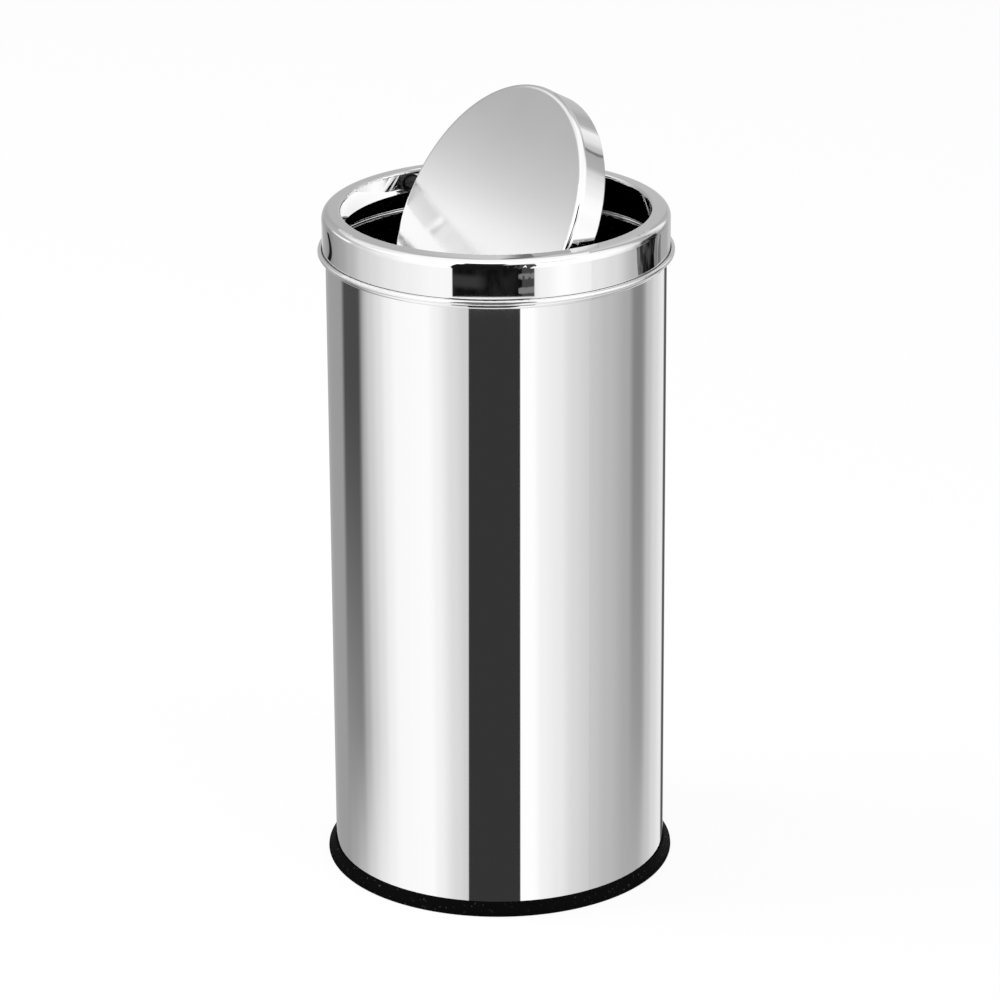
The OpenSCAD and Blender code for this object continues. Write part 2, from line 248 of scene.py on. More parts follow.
def add_grain(tree, shader, place, rough, middle=NOISE_MIDDLE, bumps=None, **settings):
    """A fine grain. The roughness goes over the range rough with it, and bumps is (strength, depth)."""
    grain = noise(tree, place, **settings)
    tree.links.new(smooth(tree, grain, *middle, *rough), shader.inputs["Roughness"])
    if bumps:
        tree.links.new(bump(tree, grain, *bumps), shader.inputs["Normal"])
    return grain


def tint(tree, shader, value, stops):
    """Makes the material grey by a value, over stops of (value, brightness)."""
    tree.links.new(ramp(tree, value, stops), shader.inputs["Base Color"])


def plain_steel(name):
    """Mill-finish sheet: duller, with fine rolling lines."""
    material, tree, shader, place = new_material(name, metallic=1.0)
    lines = add_grain(tree, shader, place, rough=(0.26, 0.4), middle=(0.2, 0.8), bumps=(0.15, 0.0002),
                      scale=160.0, detail=3.0, stretch=(1.0, 1.0, 0.05))
    tint(tree, shader, lines, [(0.2, 0.43), (0.8, 0.5)])
    return material


def bright_zinc(name):
    """Zinc-plated fixings: pale metal with a cool cast and a fine grain."""
    material, tree, shader, place = new_material(name, ZINC, metallic=1.0)
    add_grain(tree, shader, place, rough=(0.24, 0.36), bumps=(0.15, 0.0001), scale=700.0)
    return material


def black_nylon(name):
    """Moulded black nylon with a soft sheen."""
    material, tree, shader, place = new_material(name, NYLON)
    add_grain(tree, shader, place, rough=(0.38, 0.5), scale=500.0)
    return material


def black_steel(name):
    """Mild steel that is blackened in oil, with the bar's scale showing as a faint grain."""
    material, tree, shader, place = new_material(name)
    grain = add_grain(tree, shader, place, rough=(0.42, 0.6), bumps=(0.25, 0.0003), scale=260.0, detail=4.0)
    tint(tree, shader, grain, [(0.3, 0.012), (0.75, 0.03)])
    return material


def black_rubber(name):
    """Moulded rubber: deep black and dull, with a fine speckle of dust."""
    material, tree, shader, place = new_material(name)
    add_grain(tree, shader, place, rough=(0.55, 0.75), bumps=(0.3, 0.0003), scale=900.0)
    specks = smooth(tree, noise(tree, place, scale=420.0, detail=1.0), *SPECK_NOISE)
    tint(tree, shader, specks, [(0.0, 0.0015), (1.0, 0.05)])
    shader.inputs["Specular IOR Level"].default_value = RUBBER_SHINE
    return material


def seam_steel(name):
    """The shell's weld, ground flat: greyer than the sheet, with fine marks across it."""
    material, tree, shader, place = new_material(name, metallic=1.0)
    marks = add_grain(tree, shader, place, rough=(0.2, 0.34), scale=900.0, stretch=(0.2, 1.0, 1.0))
    tint(tree, shader, marks, [(0.3, 0.5), (0.7, 0.66)])
    return material


def slot_shadow(name):
    """Painted shade for the dark inside of a screw's cross slot, with some worn metal in it."""
    material, tree, shader, place = new_material(name, metallic=1.0)
    tint(tree, shader, noise(tree, place, scale=1200.0), [(0.45, 0.012), (0.8, 0.09)])
    shader.inputs["Roughness"].default_value = SLOT_ROUGHNESS
    return material


FINISHES = {
    "polished_shell": polished_steel("polished_shell", rough=0.035, ripples=0.03),
    "polished_collar": collar_steel("polished_collar", rough=0.014, ripples=0.015),
    "polished_lid": lid_steel("polished_lid"),
    "plain_steel": plain_steel("plain_steel"),
    "bright_zinc": bright_zinc("bright_zinc"),
    "black_rubber": black_rubber("black_rubber"),
    "black_nylon": black_nylon("black_nylon"),
    "black_steel": black_steel("black_steel"),
    "seam_steel": seam_steel("seam_steel"),
    "slot_shadow": slot_shadow("slot_shadow"),
}

for part in frame["record"]["subparts"]:
    mesh = nodes[part["node"]].data
    mesh.materials.clear()
    mesh.materials.append(FINISHES[part["material_slot"]])


# ---------------------------------------------------------------- small pieces

SHELL_RADIUS = 0.1525           # of the shell's plain wall
SEAM_WIDTH = 0.0012
SEAM_RISE = 0.00018             # over the wall
SEAM_BEVEL = 0.000144
SEAM_FOOT = 0.0126              # just over the base ring
SEAM_TOP = 0.5765               # just under the shell's stop bead
RING_LINE_RADIUS = 0.15925      # the base ring's radius at the parting line
RING_LINE_Z = 0.0032
RING_LINE_R = 0.00025
# The cross slots of the screws, shown by thin dark pieces of painted shade, and how thick these pieces are
CROSS_LONG = 0.0052
CROSS_WIDE = 0.0011
CROSS_DEEP = 0.0002
SCREW_HEAD_R = 0.00475


def new_block(size, place):
    """A block of this size round this place, in the mesh that is being edited or in a new piece."""
    editing = bpy.context.mode == "EDIT_MESH"
    if editing:
        bpy.ops.mesh.select_all(action="DESELECT")
    else:
        bpy.ops.object.select_all(action="DESELECT")
    bpy.ops.mesh.primitive_cube_add(size=1.0, location=(0, 0, 0))
    if not editing:
        bpy.ops.object.mode_set(mode="EDIT")
    bpy.ops.transform.resize(value=size, center_override=(0, 0, 0))
    bpy.ops.transform.translate(value=place)


def finish_piece(name, body, finish):
    """Leaves edit mode and gives the new piece its name, body and finish."""
    bpy.ops.object.mode_set(mode="OBJECT")
    piece = bpy.context.active_object
    piece.name = name
    piece.data.name = name
    piece.data.materials.append(FINISHES[finish])
    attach(piece, body)
    return piece


def shell_seam():
    """The planished weld up the shell's back."""
    tall = SEAM_TOP - SEAM_FOOT
    new_block((SEAM_WIDTH, 2 * SEAM_RISE, tall), (0, SHELL_RADIUS, SEAM_FOOT + tall / 2))
    bpy.ops.mesh.bevel(offset=SEAM_BEVEL, segments=2, affect="EDGES")
    finish_piece("shell_seam", "bin", "seam_steel")


def ring_parting_line():
    """The mould's parting line round the rubber base ring."""
    bpy.ops.object.select_all(action="DESELECT")
    bpy.ops.mesh.primitive_torus_add(
        major_segments=160, minor_segments=8, major_radius=RING_LINE_RADIUS, minor_radius=RING_LINE_R,
        location=(0, 0, 0))
    bpy.ops.object.mode_set(mode="EDIT")
    bpy.ops.mesh.select_all(action="SELECT")
    bpy.ops.transform.translate(value=(0, 0, RING_LINE_Z))
    piece = finish_piece("ring_parting_line", "bin", "black_rubber")
    for polygon in piece.data.polygons:
        polygon.use_smooth = True


def pivot_screw_crosses():
    """Painted shade for the cross slots in the pivot screws' heads, which face the bin's axis: thin dark crosses
    laid on them.
    """
    head_x = min(abs(vertex.co.x) for vertex in nodes["pivot_screws"].data.vertices)
    for side in (-1, 1):
        for across, up in ((CROSS_LONG, CROSS_WIDE), (CROSS_WIDE, CROSS_LONG)):
            new_block((CROSS_DEEP, across, up), (side * head_x, 0, PIVOT_Z))
    finish_piece("pivot_screw_crosses", "collar", "slot_shadow")


def weight_screw_crosses():
    """Painted shade for the cross slots in the weight screws' heads, under the weight: thin dark crosses laid on
    them.
    """
    tilt = math.radians(LID_TILT)
    down = Vector((0, math.sin(tilt), -math.cos(tilt)))
    pivot = Vector((0, 0, PIVOT_Z))
    points = [vertex.co for vertex in nodes["weight_screws"].data.vertices]
    head_drop = max((point - pivot).dot(down) for point in points)
    width = max(point.x for point in points) - min(point.x for point in points)
    screw_x = width / 2 - SCREW_HEAD_R
    for side in (-1, 1):
        for across, along in ((CROSS_LONG, CROSS_WIDE), (CROSS_WIDE, CROSS_LONG)):
            new_block((across, along, CROSS_DEEP), (side * screw_x, 0, PIVOT_Z - head_drop))
    bpy.ops.mesh.select_all(action="SELECT")
    bpy.ops.transform.rotate(value=-tilt, orient_axis="X", center_override=pivot)
    finish_piece("weight_screw_crosses", "lid", "slot_shadow")


shell_seam()
ring_parting_line()
pivot_screw_crosses()
weight_screw_crosses()


# ---------------------------------------------------------------- studio

# Only mirrors see the tent's cloth, so its glow and every patch, pole and mark laid on it below are painted
# reflections.
# How bright the tent's cloth is round the bin, as (degrees from the camera, + to its right; brightness),
# at six heights. The shell mirrors the lower two, the collar's skirt the next, and the collar's shoulder
# and the lid the upper three. No brightness is over GLOW_TOP.
GLOW_TOP = 1.3
FOOT_GLOW = [
    (-180, 0.45), (-160, 0.44), (-146, 0.39), (-128, 0.39), (-117, 0.47), (-105, 0.61), (-94, 0.82),
    (-85, 1.0), (-76, 1.1), (-67, 1.18), (-45, 1.2), (-39, 1.08), (-28, 0.85), (-20, 0.76), (10, 1.24),
    (22, 1.24), (28, 1.11), (39, 1.01), (50, 0.83), (62, 0.7), (75, 0.6), (94, 0.5), (105, 0.5),
    (119, 0.67), (129, 0.82), (143, 0.93), (160, 1.0), (172, 0.6), (180, 0.45),
]
LOW_GLOW = [
    (-180, 0.45), (-160, 0.44), (-146, 0.39), (-126, 0.39), (-103, 0.36), (-98, 0.49), (-90, 0.74),
    (-82, 0.9), (-75, 1.07), (-67, 1.18), (-45, 1.21), (-39, 1.11), (-28, 0.88), (-20, 0.76), (10, 1.24),
    (22, 1.24), (28, 1.11), (39, 1.03), (50, 0.86), (62, 0.72), (75, 0.61), (94, 0.48), (111, 0.42),
    (119, 0.63), (129, 0.8), (143, 0.93), (160, 1.0), (172, 0.6), (180, 0.45),
]
SKIRT_GLOW = [
    (-180, 0.7), (-162, 0.74), (-152, 0.45), (-134, 0.3), (-126, 0.39), (-116, 0.45), (-105, 0.57),
    (-92, 0.79), (-83, 0.87), (-70, 1.0), (-58, 1.08), (-38, 1.17), (22, 1.0), (28, 1.11), (42, 1.24),
    (54, 1.13), (66, 0.98), (78, 0.88), (98, 0.56), (112, 0.4), (122, 0.25), (130, 0.45), (143, 0.45),
    (155, 0.59), (165, 0.6), (180, 0.7),
]
MIDDLE_GLOW = [
    (-180, 0.6), (-172, 0.56), (-154, 0.52), (-140, 0.42), (-131, 0.33), (-118, 0.42), (-102, 0.57),
    (-88, 0.8), (-74, 1.0), (-55, 1.2), (-37, 1.3), (55, 1.25), (68, 1.24), (80, 1.1), (90, 0.9),
    (98, 0.5), (110, 0.3), (120, 0.35), (131, 0.39), (146, 0.57), (160, 0.57), (170, 0.6), (180, 0.6),
]
UPPER_GLOW = [
    (-180, 0.57), (-168, 0.54), (-154, 0.47), (-132, 0.54), (-118, 0.6), (-106, 0.68), (-92, 0.85),
    (-78, 1.05), (-55, 1.25), (-37, 1.3), (60, 1.27), (79, 1.24), (84, 1.2), (90, 1.08), (96, 0.97),
    (101, 0.84), (107, 0.52), (117, 0.48), (123, 0.64), (130, 0.95), (138, 1.07), (141, 0.7),
    (144, 0.52), (151, 0.49), (160, 0.58), (168, 0.58), (180, 0.57),
]
TOP_GLOW = [
    (-180, 0.7), (-170, 0.56), (-160, 0.52), (-146, 0.8), (-138, 0.9), (-130, 1.08), (-110, 1.0),
    (-90, 1.25), (-60, 1.3), (60, 1.3), (80, 1.2), (90, 1.15), (101, 0.84), (109, 0.5), (117, 0.5),
    (123, 0.64), (132, 0.8), (139, 0.75), (150, 0.66), (160, 0.64), (168, 0.7), (180, 0.72),
]
# The heights between which each list takes over from the one before it
LOW_FROM = (-0.55, -0.3)
SKIRT_FROM = (0.2335, 0.2375)
MIDDLE_FROM = (0.3, 0.44)
UPPER_FROM = (0.6, 0.82)
TOP_FROM = (1.22, 1.4)
# Far round the bin the collar's skirt mirrors lower cloth: lower by this, times the turn squared
SKIRT_LIFT = 1.25e-6
ROOF_GLOW = (1.2, 0.65)         # over the bin, and far behind it
ROOF_FADE = (0.5, 0.95)         # how far behind the bin the roof gets darker
WANDER = (-2.5, 2.5)            # how far wavy edges wander, in degrees

# A patch: between which turns and heights it lies, how wide its soft edges are, and how bright it is,
# if it is evenly bright
Patch = namedtuple("Patch", "turns turn_blur heights height_blur glow", defaults=(None,))
OVER_TENT = TENT_HIGH + 1.0     # so that a patch has no upper edge
# Brighter cloth high over the camera, that reaches the lid and the mouth only by two reflections
OVERHEAD = Patch((-52, 62), 22.0, (0.85, OVER_TENT), 0.1, 1.55)
# A bright strip low behind the bin, that the mouth's rounded edge mirrors. Its turns have no sign.
BACK_STRIP = Patch((174.5, 190), 3.0, (0.3, 0.55), 0.1, 1.2)
# A dark strip high up behind the bin
HIGH_BACK = Patch((172.5, 178.5), 2.5, (1.325, OVER_TENT), 0.05, 0.2)
# A thin dark line high on the right, that the lid's skirt mirrors
HIGH_LINE = Patch((118.2, 120.8), 1.2, (1.0, 1.4), 0.1, 0.24)

# What the lid's face mirrors. FACE_GLOW is (share of the way up FACE_HEIGHTS; brightness). Each degree on
# from the turn FACE_MIDDLE counts as FACE_SLANT metres of height.
FACE_PLACE = Patch((-128, -105), 6.0, (0.79, 1.15), 0.04)
FACE_MIDDLE = -116
FACE_SLANT = -0.009
FACE_HEIGHTS = (0.88, 1.12)
FACE_GLOW = [
    (0.0, 1.27), (0.17, 1.2), (0.29, 0.93), (0.4, 0.78), (0.5, 0.69), (0.6, 0.62), (0.8, 0.54), (1.0, 0.5),
]

# A pole: between which turns it stands, how wide its soft edges are, and how bright it is
Pole = namedtuple("Pole", "turns blur glow")
# Only the shell mirrors these. The stands fade out downwards, and the left one leans.
SHELL_MIRRORS_TO = (0.231, 0.235)
STAND_FADE = (-0.6, 0.14)
LEFT_STAND = Pole((-124, -101.5), 7.0, 0.05)
LEFT_STAND_SHARE = 0.9
LEFT_STAND_LEAN = -7.0          # degrees per metre
LEFT_STAND_PIVOT = -0.2         # the height at which it stands in its place
RIGHT_STAND = Pole((98, 111.5), 8.0, 0.27)
RIGHT_STAND_SHARE = 0.95
FAR_POLE = Pole((150, 164), 5.0, 0.1)

# The collar's skirt mirrors these, beside the camera. The thin pole is bent.
SKIRT_MIRRORS_FROM = (0.235, 0.237)
THIN_POLE = Pole((-137.0, -131.5), 2.0, 0.01)
THIN_POLE_BEND = 140.0          # times the height over its middle, squared, is its bend in degrees
THIN_POLE_MIDDLE = 0.235
THIN_POLE_END = (0.3, 0.36)     # also of the streaks
STREAKS = [Pole((124, 125.5), 1.0, 0.2), Pole((128, 130.5), 1.5, 0.2)]
# A mottled figure, lighter at its left
FIGURE = (101, 120.5)
FIGURE_BLUR = 1.5
FIGURE_END = (0.8, 0.88)
FIGURE_DARK_FROM = (108, 112)
# A mottle goes from one brightness to another between two values of a noise: (value, value, from, to)
LIGHT_MOTTLE = (0.38, 0.66, 0.03, 0.2)
DARK_MOTTLE = (0.45, 0.7, 0.004, 0.07)

# The dark slot that the camera looks through. The turn of each edge is (degrees per metre up, start).
SLOT_LEFT = (4.26, -18.37)
SLOT_RIGHT = (2.06, 14.23)
SLOT_EDGE = (-0.4, 0.4)
SLOT_GLOW = 0.042

# The dark head of the stand, over the slot. Its foot is lower by HEAD_LIFT, times the turn squared.
HEAD = (-27.0, 23.2)
HEAD_BLUR = 1.0
HEAD_FROM = (0.2428, 0.244)
HEAD_LIFT = 2.9e-6
HEAD_END = (1.45, 1.55)
HEAD_MOTTLE = (0.4, 0.7, 0.006, 0.018)
CROWN = Patch((-24.0, 9.0), 4.0, (1.45, 2.05), 0.1)
SHINE = Patch((-30.0, -9.0), 9.0, (0.2535, 0.267), 0.008, 0.046)
# Its right part has two rows of light spots, and begins further to the left there
PART_FROM = 15.6
PART_STEP = -2.2
PART_EDGE = (-0.5, 0.5)
PART_GLOW = 0.07
ROWS = [(0.2462, 0.2533), (0.2628, 0.2692)]
ROW_BLUR = 0.0016
SPOT_NOISE = (0.34, 0.46)
SPOT_GLOW = 0.24

# The level card in the mouth, a painted reflection. The skirt mirrors it shifted round, by SHELF_SLANT degrees per
# metre from its rim. By that turn it is bright, mottled beside the lid and at the left, and dark at its end.
SHELF_SLANT = 450.0
SHELF_RAGGED = (-1.2, 1.2)
SHELF_BRIGHT = (-138.0, -108.0, 1.25, 1.05)
SHELF_BY_LID = (-149.0, -139.0)
SHELF_LID_BLUR = 1.0
SHELF_LID_MOTTLE = (0.42, 0.62, 0.01, 0.14)
SHELF_LEFT_FROM = (-107.0, -105.5)
SHELF_LEFT_MOTTLE = (0.45, 0.6, 0.01, 0.3)
SHELF_DARK_TO = (-152.5, -151.5)
SHELF_DARK = 0.02
SHELF_BLUR = 2.0
SHELF_INNER_EDGE = (0.06, 0.07)     # how far from the bin's axis

FLOOR_SIZE = 12.0
FLOOR_GREY = 0.9
FLOOR_GLOW_SHARE = 0.9          # how much of the floor is plain white to the camera
WORLD_LIGHT = 0.75              # on everything but the camera and mirrors
SOFTBOXES = [                   # name, place, size and watts
    ("key_softbox", (-1.6, -2.2, 2.4), 1.6, 60),
    ("fill_softbox", (2.4, 0.6, 2.2), 1.8, 30),
]


def glow_round(tree, turn, stops):
    """The cloth's brightness at a turn in degrees, from a list of stops."""
    places = [((angle + 180) / 360, level / GLOW_TOP) for angle, level in stops]
    share = maths(tree, "MULTIPLY_ADD", turn, 1 / 360, 0.5)
    return maths(tree, "MULTIPLY", ramp(tree, share, places, "EASE"), GLOW_TOP)


def patch_mask(tree, turn, height, patch):
    """1 on the patch and 0 off it."""
    across = band(tree, turn, *patch.turns, patch.turn_blur)
    upwards = band(tree, height, *patch.heights, patch.height_blur)
    return maths(tree, "MULTIPLY", across, upwards)


def lay(tree, glow, turn, height, patch):
    """The patch laid over the glow."""
    return over(tree, glow, patch.glow, patch_mask(tree, turn, height, patch))


def stand_up(tree, glow, turn, pole, shown):
    """The pole laid over the glow, where shown is 1."""
    across = band(tree, turn, *pole.turns, pole.blur)
    return over(tree, glow, pole.glow, maths(tree, "MULTIPLY", across, shown))


def camera_turn(tree, xyz):
    """The turn of a place round the bin, in degrees from the camera, + to its right."""
    turn = maths(tree, "ARCTAN2", xyz["X"], maths(tree, "MULTIPLY", xyz["Y"], -1.0))
    return maths(tree, "MULTIPLY", turn, 180.0 / math.pi)


def raised(tree, turn, height, lift):
    """The height, higher by lift times the turn squared."""
    return maths(tree, "MULTIPLY_ADD", maths(tree, "MULTIPLY", turn, turn), lift, height)


def cloth_glow(tree, turn, height, lifted):
    """The plain cloth, from its foot up."""
    glow = over(tree, glow_round(tree, turn, FOOT_GLOW), glow_round(tree, turn, LOW_GLOW),
                smooth(tree, height, *LOW_FROM))
    glow = over(tree, glow, glow_round(tree, turn, SKIRT_GLOW), smooth(tree, lifted, *SKIRT_FROM))
    glow = over(tree, glow, glow_round(tree, turn, MIDDLE_GLOW), smooth(tree, height, *MIDDLE_FROM))
    glow = over(tree, glow, glow_round(tree, turn, UPPER_GLOW), smooth(tree, height, *UPPER_FROM))
    return over(tree, glow, glow_round(tree, turn, TOP_GLOW), smooth(tree, height, *TOP_FROM))


def add_face_light(tree, glow, turn, height):
    """What the lid's face mirrors: bright cloth below, that darkens upwards along a slanting edge."""
    slant = maths(tree, "MULTIPLY_ADD", turn, FACE_SLANT, -FACE_SLANT * FACE_MIDDLE)
    share = straight(tree, maths(tree, "ADD", height, slant), *FACE_HEIGHTS)
    stops = [(at, level / GLOW_TOP) for at, level in FACE_GLOW]
    face_glow = maths(tree, "MULTIPLY", ramp(tree, share, stops), GLOW_TOP)
    return over(tree, glow, face_glow, patch_mask(tree, turn, height, FACE_PLACE))


def add_stands(tree, glow, turn, height, under_skirt):
    """The two dark stands that the shell mirrors, as painted reflections in the cloth's glow."""
    lean = maths(tree, "SUBTRACT", height, LEFT_STAND_PIVOT)
    leaning_turn = maths(tree, "MULTIPLY_ADD", lean, LEFT_STAND_LEAN, turn)
    shown = smooth(tree, height, *STAND_FADE, 0.0, LEFT_STAND_SHARE)
    glow = stand_up(tree, glow, leaning_turn, LEFT_STAND, maths(tree, "MULTIPLY", shown, under_skirt))
    shown = smooth(tree, height, *STAND_FADE, 0.0, RIGHT_STAND_SHARE)
    return stand_up(tree, glow, turn, RIGHT_STAND, maths(tree, "MULTIPLY", shown, under_skirt))


def add_skirt_things(tree, glow, place, turn, wavy_turn, height, lifted):
    """Painted reflections for the collar's skirt beside the camera, in the cloth's glow: the thin pole, the figure
    and the streaks.
    """
    from_skirt = smooth(tree, lifted, *SKIRT_MIRRORS_FROM)
    at_skirt = maths(tree, "MULTIPLY", from_skirt, smooth(tree, height, *THIN_POLE_END, 1.0, 0.0))
    sway = maths(tree, "MULTIPLY", maths(tree, "SUBTRACT", height, THIN_POLE_MIDDLE), THIN_POLE_BEND)
    bent_turn = maths(tree, "MULTIPLY_ADD", sway, sway, turn)
    glow = stand_up(tree, glow, bent_turn, THIN_POLE, at_skirt)

    cloth = noise(tree, place, scale=9.0, detail=3.0, stretch=(1.0, 1.0, 3.0), roughness=0.6)
    shade = over(tree, smooth(tree, cloth, *LIGHT_MOTTLE), smooth(tree, cloth, *DARK_MOTTLE),
                 smooth(tree, wavy_turn, *FIGURE_DARK_FROM))
    upwards = maths(tree, "MULTIPLY", from_skirt, smooth(tree, height, *FIGURE_END, 1.0, 0.0))
    across = band(tree, wavy_turn, *FIGURE, FIGURE_BLUR)
    glow = over(tree, glow, shade, maths(tree, "MULTIPLY", across, upwards))

    for streak in STREAKS:
        glow = stand_up(tree, glow, wavy_turn, streak, at_skirt)
    return glow


def add_slot(tree, glow, turn, height, under_skirt):
    """A dark patch painted into the cloth's glow for the slot that the camera looks through: a painted reflection.
    """
    left_of = maths(tree, "SUBTRACT", turn, maths(tree, "MULTIPLY_ADD", height, *SLOT_LEFT))
    right_of = maths(tree, "SUBTRACT", maths(tree, "MULTIPLY_ADD", height, *SLOT_RIGHT), turn)
    slot = maths(tree, "MULTIPLY", smooth(tree, left_of, *SLOT_EDGE), smooth(tree, right_of, *SLOT_EDGE))
    return over(tree, glow, SLOT_GLOW, maths(tree, "MULTIPLY", slot, under_skirt))


def add_head(tree, glow, place, turn, height):
    """Painted reflections in the cloth's glow: the dark head over the slot, with its crown, a painted shine at its
    left and a mottled part at its right.
    """
    foot = raised(tree, turn, height, HEAD_LIFT)
    head = maths(tree, "MULTIPLY", band(tree, turn, *HEAD, HEAD_BLUR), smooth(tree, foot, *HEAD_FROM))
    head = maths(tree, "MULTIPLY", head, smooth(tree, height, *HEAD_END, 1.0, 0.0))
    head = maths(tree, "MAXIMUM", head, patch_mask(tree, turn, height, CROWN))

    haze = noise(tree, place, scale=7.0, stretch=(1.0, 1.0, 5.0))
    panel = lay(tree, smooth(tree, haze, *HEAD_MOTTLE), turn, height, SHINE)

    rows = maths(tree, "ADD", *[band(tree, height, *row, ROW_BLUR) for row in ROWS])
    grain = noise(tree, place, scale=22.0, stretch=(1.0, 1.0, 6.0))
    spots = maths(tree, "MULTIPLY", rows, smooth(tree, grain, *SPOT_NOISE))
    part = over(tree, PART_GLOW, SPOT_GLOW, spots)
    part_from = maths(tree, "MULTIPLY_ADD", rows, PART_STEP, PART_FROM)
    at_right = smooth(tree, maths(tree, "SUBTRACT", turn, part_from), *PART_EDGE)
    return over(tree, glow, over(tree, panel, part, at_right), head)


def glowing_material(name):
    """An empty material, its node tree and an Object texture coordinate."""
    material = bpy.data.materials.new(name)
    material.use_nodes = True
    tree = material.node_tree
    tree.nodes.clear()
    return material, tree, put(tree, "ShaderNodeTexCoord").outputs["Object"]


def glow_all_over(tree, glow):
    """Ends the material with this glow."""
    emission = put(tree, "ShaderNodeEmission", {"Color": (1, 1, 1, 1), "Strength": glow})
    put(tree, "ShaderNodeOutputMaterial", {"Surface": emission.outputs[0]})


def glow_where(tree, glow, share):
    """Ends the material with this glow where share is 1, and clear where it is 0."""
    bright = put(tree, "ShaderNodeEmission", {"Color": (1, 1, 1, 1), "Strength": glow})
    clear = put(tree, "ShaderNodeBsdfTransparent")
    mix = put(tree, "ShaderNodeMixShader", {0: share, 1: clear.outputs[0], 2: bright.outputs[0]})
    put(tree, "ShaderNodeOutputMaterial", {"Surface": mix.outputs[0]})


def tent_material():
    """The tent's cloth, glowing as if lit from outside, with the dark things that stand in front of it painted
    into the same glow. Only mirrors see it, so all of it is painted reflection.
    """
    material, tree, place = glowing_material("tent_cloth")
    xyz = parts_of(tree, place)
    turn = camera_turn(tree, xyz)
    height = xyz["Z"]
    waves = noise(tree, place, scale=3.0, detail=3.0, stretch=(1.0, 1.0, 6.0))
    wavy_turn = maths(tree, "ADD", turn, smooth(tree, waves, *NOISE_MIDDLE, *WANDER))
    lifted = raised(tree, turn, height, SKIRT_LIFT)
    under_skirt = smooth(tree, lifted, *SHELL_MIRRORS_TO, 1.0, 0.0)

    glow = cloth_glow(tree, turn, height, lifted)
    glow = add_face_light(tree, glow, turn, height)
    glow = lay(tree, glow, turn, height, OVERHEAD)
    glow = lay(tree, glow, maths(tree, "ABSOLUTE", turn), height, BACK_STRIP)
    glow = lay(tree, glow, turn, height, HIGH_BACK)
    glow = lay(tree, glow, wavy_turn, height, HIGH_LINE)
    glow = add_stands(tree, glow, turn, height, under_skirt)
    glow = add_skirt_things(tree, glow, place, turn, wavy_turn, height, lifted)
    glow = stand_up(tree, glow, turn, FAR_POLE, under_skirt)
    glow = add_slot(tree, glow, turn, height, under_skirt)
    glow = add_head(tree, glow, place, turn, height)
    glow_all_over(tree, glow)
    return material


def roof_material():
    """The tent's roof, darker far behind the bin."""
    material, tree, place = glowing_material("tent_roof")
    glow_all_over(tree, smooth(tree, parts_of(tree, place)["Y"], *ROOF_FADE, *ROOF_GLOW))
    return material


def card_material(name, turns, glow):
    """A card that glows towards the bin's axis between two turns, and is clear from outside: a painted reflection,
    as only mirrors see it.
    """
    material, tree, place = glowing_material(name)
    turn = camera_turn(tree, parts_of(tree, place))
    inside = put(tree, "ShaderNodeNewGeometry").outputs["Backfacing"]
    glow_where(tree, glow, maths(tree, "MULTIPLY", band(tree, turn, *turns, CARD_BLUR), inside))
    return material


def shelf_material():
    """A level card that the mouth's skirt mirrors at the left: a painted reflection. It glows upwards, and is
    clear from below.
    """
    material, tree, place = glowing_material("mouth_shelf")
    xyz = parts_of(tree, place)
    turn = camera_turn(tree, xyz)
    level = put(tree, "ShaderNodeCombineXYZ", {"X": xyz["X"], "Y": xyz["Y"]}).outputs["Vector"]
    away = put(tree, "ShaderNodeVectorMath", {0: level}, operation="LENGTH").outputs["Value"]
    # the turn of the skirt's part that mirrors this place, with a ragged edge
    mirrored = maths(tree, "MULTIPLY_ADD", maths(tree, "SUBTRACT", SHELF_RADIUS, away), SHELF_SLANT, turn)
    grain = noise(tree, place, scale=150.0)
    mirrored = maths(tree, "ADD", mirrored, smooth(tree, grain, *NOISE_MIDDLE, *SHELF_RAGGED))
    glow = smooth(tree, mirrored, *SHELF_BRIGHT)
    by_lid = band(tree, mirrored, *SHELF_BY_LID, SHELF_LID_BLUR)
    glow = over(tree, glow, smooth(tree, grain, *SHELF_LID_MOTTLE), by_lid)
    at_left = smooth(tree, mirrored, *SHELF_LEFT_FROM)
    glow = over(tree, glow, smooth(tree, grain, *SHELF_LEFT_MOTTLE), at_left)
    glow = over(tree, glow, SHELF_DARK, smooth(tree, mirrored, *SHELF_DARK_TO, 1.0, 0.0))
    shown = band(tree, turn, *SHELF_TURNS, SHELF_BLUR)
    shown = maths(tree, "MULTIPLY", shown, smooth(tree, away, *SHELF_INNER_EDGE))
    below = put(tree, "ShaderNodeNewGeometry").outputs["Backfacing"]
    glow_where(tree, glow, maths(tree, "MULTIPLY", shown, maths(tree, "SUBTRACT", 1.0, below)))
    return material


def hang_up(name, material):
    """Finishes the new piece of the studio: turned to the camera, and shown in mirrors only."""
    thing = bpy.context.active_object
    thing.name = name
    thing.rotation_euler.z = math.radians(CAMERA_TURN)
    thing.data.materials.append(material)
    thing.visible_camera = False
    thing.visible_diffuse = False
    thing.visible_transmission = False
    thing.visible_volume_scatter = False
    thing.visible_shadow = False


def upright_ring(name, radius, low, high, material):
    """An open upright cylinder round the bin's axis."""
    bpy.ops.object.select_all(action="DESELECT")
    bpy.ops.mesh.primitive_cylinder_add(
        vertices=TENT_SIDES, radius=radius, depth=high - low, end_fill_type="NOTHING", location=(0, 0, 0))
    for vertex in bpy.context.active_object.data.vertices:
        vertex.co.z += (high + low) / 2
    hang_up(name, material)


def level_disc(name, radius, height, material):
    """A level disc round the bin's axis."""
    bpy.ops.object.select_all(action="DESELECT")
    bpy.ops.mesh.primitive_circle_add(
        vertices=TENT_SIDES, radius=radius, fill_type="NGON", location=(0, 0, height))
    hang_up(name, material)


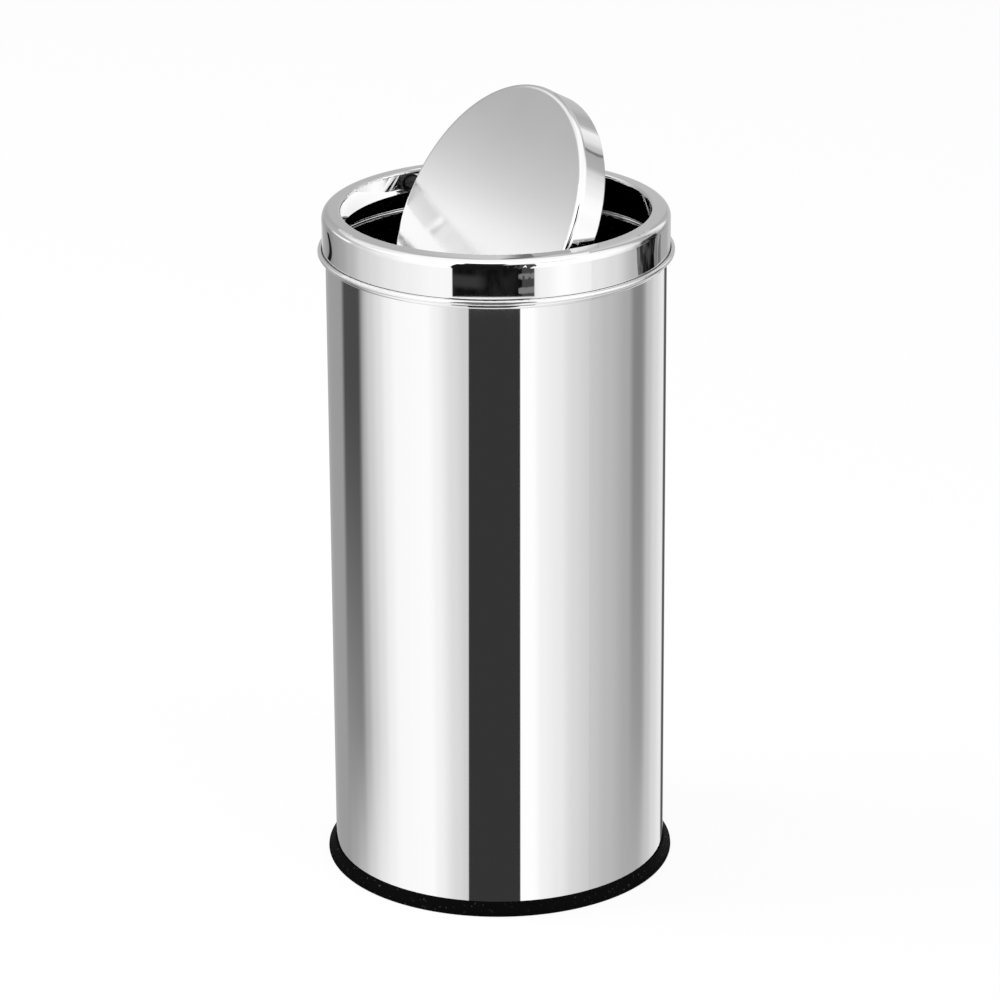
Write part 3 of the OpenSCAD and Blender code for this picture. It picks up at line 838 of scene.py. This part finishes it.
def studio_floor():
    """Pale paper, that the camera sees as white but for the bin's soft shadow. Mirrors don't see it."""
    bpy.ops.object.select_all(action="DESELECT")
    bpy.ops.mesh.primitive_plane_add(size=FLOOR_SIZE, location=(0, 0, 0))
    floor = bpy.context.active_object
    floor.name = "studio_floor"
    floor.visible_glossy = False
    material = bpy.data.materials.new("floor_paper")
    material.use_nodes = True
    tree = material.node_tree
    tree.nodes.clear()
    paper = put(tree, "ShaderNodeBsdfDiffuse", {"Color": (FLOOR_GREY, FLOOR_GREY, FLOOR_GREY, 1)})
    glow = put(tree, "ShaderNodeEmission", {"Color": (1, 1, 1, 1), "Strength": 1.0})
    seen = put(tree, "ShaderNodeLightPath").outputs["Is Camera Ray"]
    share = maths(tree, "MULTIPLY", seen, FLOOR_GLOW_SHARE)
    mix = put(tree, "ShaderNodeMixShader", {0: share, 1: paper.outputs[0], 2: glow.outputs[0]})
    put(tree, "ShaderNodeOutputMaterial", {"Surface": mix.outputs[0]})
    floor.data.materials.append(material)


def studio_world():
    """White where the camera or a mirror sees it, and a soft light on everything else."""
    world = bpy.data.worlds.new("studio")
    bpy.context.scene.world = world
    world.use_nodes = True
    tree = world.node_tree
    tree.nodes.clear()
    path = put(tree, "ShaderNodeLightPath").outputs
    seen = maths(tree, "MAXIMUM", path["Is Camera Ray"], path["Is Glossy Ray"])
    seen = maths(tree, "MAXIMUM", seen, path["Is Transmission Ray"])
    strength = over(tree, WORLD_LIGHT, 1.0, seen)
    background = put(tree, "ShaderNodeBackground", {"Color": (1, 1, 1, 1), "Strength": strength})
    put(tree, "ShaderNodeOutputWorld", {"Surface": background.outputs[0]})


def soft_light(name, location, size, power):
    """A square softbox that points at the bin's middle. Mirrors see the tent instead."""
    light = bpy.data.lights.new(name, "AREA")
    light.size = size
    light.energy = power
    lamp = bpy.data.objects.new(name, light)
    bpy.context.scene.collection.objects.link(lamp)
    lamp.location = location
    aim = Vector((0, 0, SHELL_TOP / 2)) - lamp.location
    lamp.rotation_euler = aim.to_track_quat("-Z", "Y").to_euler()
    lamp.visible_glossy = False


def photo_camera():
    """A camera where the photograph's camera stood."""
    camera = bpy.data.objects.new("camera", bpy.data.cameras.new("camera"))
    bpy.context.scene.collection.objects.link(camera)
    camera.data.sensor_width = SENSOR_WIDTH
    camera.data.lens = CAMERA_LENS
    turn = math.radians(CAMERA_TURN)
    aim = Matrix.Rotation(turn - math.radians(CAMERA_PAN), 4, "Z")
    aim @= Matrix.Rotation(math.radians(90 - CAMERA_PITCH), 4, "X")
    aim @= Matrix.Rotation(math.radians(CAMERA_ROLL), 4, "Z")
    place = (CAMERA_DISTANCE * math.sin(turn), -CAMERA_DISTANCE * math.cos(turn), CAMERA_HEIGHT)
    camera.matrix_world = Matrix.Translation(place) @ aim
    bpy.context.scene.camera = camera


upright_ring("light_tent", TENT_RADIUS, TENT_LOW, TENT_HIGH, tent_material())
level_disc("tent_roof", TENT_RADIUS, TENT_HIGH, roof_material())
upright_ring("mouth_card", MOUTH_CARD_RADIUS, *MOUTH_CARD_HEIGHTS,
             card_material("mouth_card", MOUTH_CARD_TURNS, MOUTH_CARD_GLOW))
upright_ring("front_card", FRONT_CARD_RADIUS, *FRONT_CARD_HEIGHTS,
             card_material("front_card", FRONT_CARD_TURNS, FRONT_CARD_GLOW))
level_disc("mouth_shelf", SHELF_RADIUS, SHELF_Z, shelf_material())
studio_floor()
studio_world()
for softbox in SOFTBOXES:
    soft_light(*softbox)
photo_camera()
bpy.context.scene.view_settings.view_transform = "Standard"
